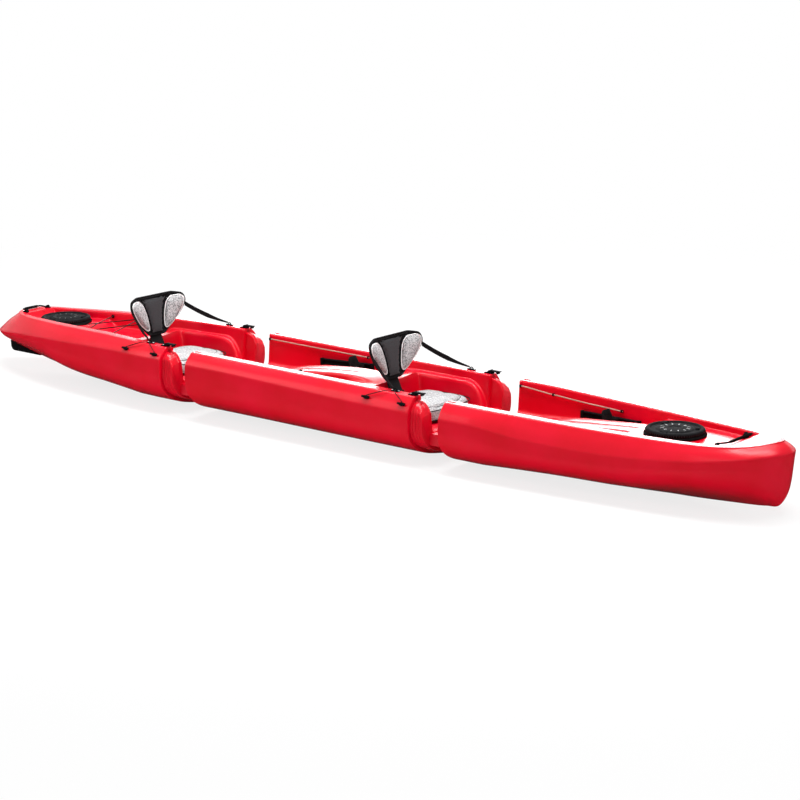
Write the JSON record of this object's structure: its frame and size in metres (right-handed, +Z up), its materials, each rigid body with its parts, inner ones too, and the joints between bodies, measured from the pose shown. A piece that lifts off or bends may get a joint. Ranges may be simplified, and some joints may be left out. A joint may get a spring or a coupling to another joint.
{
  "type": "tandem kayak",
  "caption": "Sit-on-top touring kayak for two paddlers in take-apart hull modules that dock together, with reclining seats, sliding foot pedals, round hatches and carry handles.",
  "frame": {"origin": "under the middle of the whole boat, at the flat of the bottom", "axes": "+X towards the bow, +Y to port, +Z up"},
  "size_m": [4.792, 0.708, 0.4841],
  "materials": {
    "red_plastic": "rotomoulded polyethylene, semi-gloss",
    "rubber": "matt rubber",
    "black_plastic": "fine matt grain",
    "dark_plastic": "satin",
    "steel": "satin",
    "shock_cord": "braided sheath",
    "wall_cord": "braided, flecked",
    "light_fabric": "melange weave",
    "dark_fabric": "smooth weave",
    "black_fabric": "bound fabric over foam",
    "webbing": "flat webbing"
  },
  "bodies": {
    "mid": {"mid_hull": "red_plastic", "mid_pad_eyes": "black_plastic", "mid_screws": "steel", "mid_latch_bases": "black_plastic", "mid_keeper_cleats": "black_plastic", "mid_keeper_bungee": "shock_cord", "mid_rails": "black_plastic", "mid_cords": "wall_cord", "mid_cord_eyes": "black_plastic", "front_cushion": "light_fabric", "front_seat_saddle": "black_plastic", "front_strap_port": "webbing", "front_strap_stbd": "webbing"},
    "stern": {"stern_hull": "red_plastic", "skeg": "rubber", "stern_hatch_rim": "black_plastic", "stern_handle_lugs": "black_plastic", "stern_pad_eyes": "black_plastic", "stern_screws": "steel", "stern_latch_bases": "black_plastic", "stern_keeper_cleats": "black_plastic", "stern_keeper_bungee": "shock_cord", "tank_eyelets": "black_plastic", "tank_bungee": "shock_cord", "rear_cushion": "light_fabric", "rear_seat_saddle": "black_plastic", "rear_strap_port": "webbing", "rear_strap_stbd": "webbing"},
    "bow": {"bow_hull": "red_plastic", "bow_hatch_rim": "black_plastic", "bow_handle_lugs": "black_plastic", "bow_rails": "black_plastic", "bow_cords": "wall_cord", "bow_cord_eyes": "black_plastic"},
    "rear_back": {"rear_back_frame": "black_fabric", "rear_back_panel": "dark_fabric", "rear_pad_port": "light_fabric", "rear_pad_stbd": "light_fabric", "rear_back_stem": "black_plastic"},
    "front_back": {"front_back_frame": "black_fabric", "front_back_panel": "dark_fabric", "front_pad_port": "light_fabric", "front_pad_stbd": "light_fabric", "front_back_stem": "black_plastic"},
    "stern_lid": {"stern_hatch_lid": "dark_plastic", "stern_lid_grip": "black_plastic"},
    "bow_lid": {"bow_hatch_lid": "dark_plastic", "bow_lid_grip": "black_plastic"},
    "stern_handle": {"stern_handle_rod": "black_plastic", "stern_handle_grip": "rubber"},
    "bow_handle": {"bow_handle_rod": "black_plastic", "bow_handle_grip": "rubber"},
    "stern_latch_port": {"stern_latch_port": "dark_plastic"},
    "stern_latch_stbd": {"stern_latch_stbd": "dark_plastic"},
    "mid_latch_port": {"mid_latch_port": "dark_plastic"},
    "mid_latch_stbd": {"mid_latch_stbd": "dark_plastic"},
    "mid_pedal_port": {"mid_pedal_port": "dark_plastic"},
    "mid_pedal_stbd": {"mid_pedal_stbd": "dark_plastic"},
    "bow_pedal_port": {"bow_pedal_port": "dark_plastic"},
    "bow_pedal_stbd": {"bow_pedal_stbd": "dark_plastic"}
  },
  "joints": [
    {"name": "stern_dock", "type": "slide", "parent": "mid", "child": "stern", "axis": [1, 0, 0], "range_m": [0, 0.167]},
    {"name": "bow_dock", "type": "slide", "parent": "mid", "child": "bow", "axis": [-1, 0, 0], "range_m": [0, 0.167]},
    {"name": "rear_seat_fold", "type": "hinge", "parent": "stern", "child": "rear_back", "pos_m": [-1.219, 0, 0.214], "axis": [0, 1, 0], "range_deg": [-10, 50], "deforming": ["rear_strap_port", "rear_strap_stbd"]},
    {"name": "front_seat_fold", "type": "hinge", "parent": "mid", "child": "front_back", "pos_m": [0.317, 0, 0.214], "axis": [0, 1, 0], "range_deg": [-10, 50], "deforming": ["front_strap_port", "front_strap_stbd"]},
    {"name": "stern_lid_lift", "type": "slide", "parent": "stern", "child": "stern_lid", "axis": [0, 0, 1], "range_m": [0, 0.1]},
    {"name": "bow_lid_lift", "type": "slide", "parent": "bow", "child": "bow_lid", "axis": [0, 0, 1], "range_m": [0, 0.1]},
    {"name": "stern_handle_swing", "type": "hinge", "parent": "stern", "child": "stern_handle", "pos_m": [-2.12, 0, 0.3063], "axis": [0, 1, 0], "range_deg": [0, 110]},
    {"name": "bow_handle_swing", "type": "hinge", "parent": "bow", "child": "bow_handle", "pos_m": [2.1055, 0, 0.2883], "axis": [0, -1, 0], "range_deg": [0, 110]},
    {"name": "stern_latch_port", "type": "hinge", "parent": "stern", "child": "stern_latch_port", "pos_m": [-0.887, 0.27918, 0.3293], "axis": [0, -1, 0], "range_deg": [-10, 95]},
    {"name": "stern_latch_stbd", "type": "hinge", "parent": "stern", "child": "stern_latch_stbd", "pos_m": [-0.887, -0.27918, 0.3293], "axis": [0, -1, 0], "range_deg": [-10, 95]},
    {"name": "mid_latch_port", "type": "hinge", "parent": "mid", "child": "mid_latch_port", "pos_m": [0.649, 0.27923, 0.31744], "axis": [0, -1, 0], "range_deg": [-10, 95]},
    {"name": "mid_latch_stbd", "type": "hinge", "parent": "mid", "child": "mid_latch_stbd", "pos_m": [0.649, -0.27923, 0.31744], "axis": [0, -1, 0], "range_deg": [-10, 95]},
    {"name": "mid_pedal_port", "type": "slide", "parent": "mid", "child": "mid_pedal_port", "axis": [0.9988, 0.0054, 0.0484], "range_m": [-0.222, 0.036]},
    {"name": "mid_pedal_stbd", "type": "slide", "parent": "mid", "child": "mid_pedal_stbd", "axis": [0.9988, -0.0054, 0.0484], "range_m": [-0.222, 0.036]},
    {"name": "bow_pedal_port", "type": "slide", "parent": "bow", "child": "bow_pedal_port", "axis": [0.9976, -0.0676, 0.0151], "range_m": [-0.156, 0.102]},
    {"name": "bow_pedal_stbd", "type": "slide", "parent": "bow", "child": "bow_pedal_stbd", "axis": [0.9976, 0.0676, 0.0151], "range_m": [-0.156, 0.102]}
  ]
}
